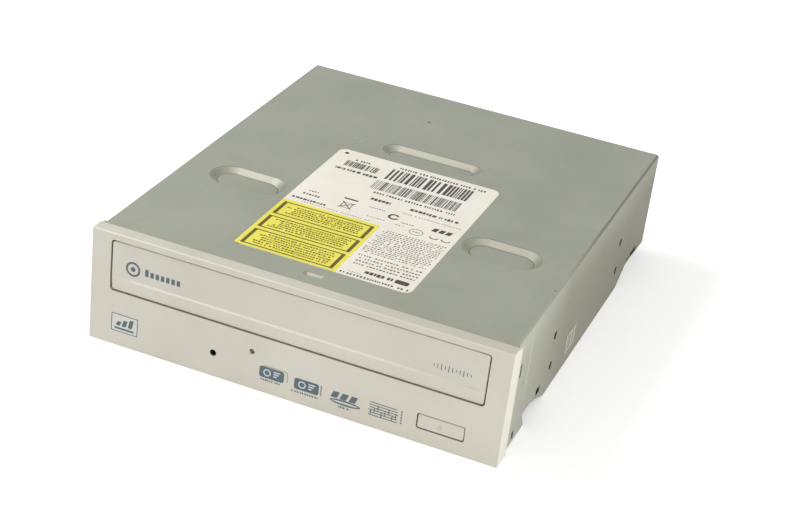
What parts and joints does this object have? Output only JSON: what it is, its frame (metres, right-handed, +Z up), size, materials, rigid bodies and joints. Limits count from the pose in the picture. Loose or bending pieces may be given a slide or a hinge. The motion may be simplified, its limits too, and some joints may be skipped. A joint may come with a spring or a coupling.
{
  "type": "internal optical disc drive",
  "caption": "Half-height internal disc drive for a 5.25-inch bay: steel case, beige bezel, sliding disc tray, geared loader, lifting traverse, turntable and pickup.",
  "frame": {"origin": "middle of the base of the drive's bounding box, on the surface it stands on", "axes": "+X to the drive's right seen from the front, the bezel faces -Y, +Z up"},
  "size_m": [0.148, 0.174, 0.042],
  "materials": {
    "galvanised_steel": "matt galvanised sheet, grey with a slight green",
    "bezel_plastic": "fine-grained warm beige moulding",
    "dark_plastic": "dark grey moulding",
    "white_plastic": "natural white acetal",
    "clear_plastic": "smoked clear plastic",
    "circuit_board": "green solder mask",
    "ribbon_cable": "flat white film cable",
    "bright_steel": "bright plated steel",
    "cast_metal": "die-cast, satin",
    "black_rubber": "soft black rubber",
    "white_paper": "coated paper label",
    "yellow_paper": "coated yellow label",
    "lens_glass": "coated lens"
  },
  "bodies": {
    "case": {"top_cover": "galvanised_steel", "bottom_cover": "galvanised_steel", "chassis_frame": "dark_plastic", "front_bezel": "bezel_plastic", "light_pipe": "clear_plastic", "status_light": "clear_plastic", "front_board": "circuit_board", "eject_switch": "dark_plastic", "front_ribbon": "ribbon_cable", "main_board": "circuit_board", "main_chip": "dark_plastic", "driver_chip": "dark_plastic", "memory_chip": "dark_plastic", "data_connector": "dark_plastic", "power_connector": "white_plastic", "jumper_header": "dark_plastic", "audio_connector": "dark_plastic", "clamp_bridge": "galvanised_steel", "bridge_screw_1": "bright_steel", "bridge_screw_2": "bright_steel", "loading_motor": "bright_steel", "drive_belt": "black_rubber", "cover_screw_1": "bright_steel", "cover_screw_2": "bright_steel", "cover_screw_3": "bright_steel", "cover_screw_4": "bright_steel", "cover_label": "white_paper", "notice_label": "yellow_paper", "side_label": "white_paper"},
    "tray": {"disc_tray": "dark_plastic", "tray_door": "bezel_plastic"},
    "loading_gear": {"tray_gear": "white_plastic"},
    "belt_gear": {"pulley_gear": "white_plastic"},
    "motor_shaft": {"motor_pulley": "white_plastic"},
    "cam": {"cam_slider": "white_plastic"},
    "button": {"eject_button": "bezel_plastic"},
    "plunger": {"switch_plunger": "dark_plastic"},
    "clamp": {"clamp_puck": "white_plastic"},
    "traverse": {"lift_frame": "dark_plastic", "sled_base": "galvanised_steel", "damper_1": "black_rubber", "damper_2": "black_rubber", "damper_3": "black_rubber", "damper_4": "black_rubber", "damper_screw_1": "bright_steel", "damper_screw_2": "bright_steel", "damper_screw_3": "bright_steel", "damper_screw_4": "bright_steel", "guide_rail_left": "bright_steel", "guide_rail_right": "bright_steel", "spindle_motor": "bright_steel", "sled_motor": "bright_steel"},
    "spindle": {"turntable": "dark_plastic"},
    "screw": {"lead_screw": "bright_steel"},
    "sled": {"pickup_base": "cast_metal"},
    "lens": {"lens_holder": "dark_plastic", "objective_lens": "lens_glass"}
  },
  "joints": [
    {"name": "tray_slide", "type": "slide", "parent": "case", "child": "tray", "axis": [0, -1, 0], "range_m": [0, 0.14]},
    {"name": "tray_gear_spin", "type": "hinge", "parent": "case", "child": "loading_gear", "pos_m": [-0.046, -0.068, 0.018], "axis": [0, 0, 1], "continuous": true},
    {"name": "pulley_gear_spin", "type": "hinge", "parent": "case", "child": "belt_gear", "pos_m": [-0.0309, -0.068, 0.016], "axis": [0, 0, 1], "continuous": true},
    {"name": "motor_pulley_spin", "type": "hinge", "parent": "case", "child": "motor_shaft", "pos_m": [0.006, -0.063, 0.014], "axis": [0, 0, 1], "continuous": true},
    {"name": "traverse_lift", "type": "hinge", "parent": "case", "child": "traverse", "pos_m": [0, 0.071, 0.012], "axis": [-1, 0, 0], "range_deg": [0, 4.4]},
    {"name": "cam_slide", "type": "slide", "parent": "case", "child": "cam", "axis": [1, 0, 0], "range_m": [0, 0.0301]},
    {"name": "turntable_spin", "type": "hinge", "parent": "traverse", "child": "spindle", "pos_m": [0, -0.01275, 0.01859], "axis": [0, -0.0767, 0.9971], "continuous": true},
    {"name": "clamp_spin", "type": "hinge", "parent": "case", "child": "clamp", "pos_m": [0, -0.012, 0.034], "axis": [0, 0, 1], "continuous": true},
    {"name": "sled_slide", "type": "slide", "parent": "traverse", "child": "sled", "axis": [0, 0.9971, 0.0767], "range_m": [0, 0.034]},
    {"name": "lead_screw_spin", "type": "hinge", "parent": "traverse", "child": "screw", "pos_m": [0.0315, 0.01293, 0.01064], "axis": [0, 0.9971, 0.0767], "continuous": true},
    {"name": "lens_focus", "type": "slide", "parent": "sled", "child": "lens", "axis": [0, -0.0767, 0.9971], "range_m": [-0.0003, 0.0004], "stiffness_N_per_m": 60},
    {"name": "button_press", "type": "slide", "parent": "case", "child": "button", "axis": [0, 1, 0], "range_m": [0, 0.0006], "stiffness_N_per_m": 1500},
    {"name": "plunger_press", "type": "slide", "parent": "case", "child": "plunger", "axis": [0, 1, 0], "range_m": [0, 0.00061]}
  ],
  "couplings": [
    {"joint": "tray_gear_spin", "follows": "tray_slide", "rad_per_m": 100},
    {"joint": "pulley_gear_spin", "follows": "tray_slide", "rad_per_m": -257.14},
    {"joint": "motor_pulley_spin", "follows": "tray_slide", "rad_per_m": -1000},
    {"joint": "cam_slide", "follows": "traverse_lift", "m_per_rad": 0.39065},
    {"joint": "lead_screw_spin", "follows": "sled_slide", "rad_per_m": 2094.4},
    {"joint": "plunger_press", "follows": "button_press", "ratio": 1}
  ]
}
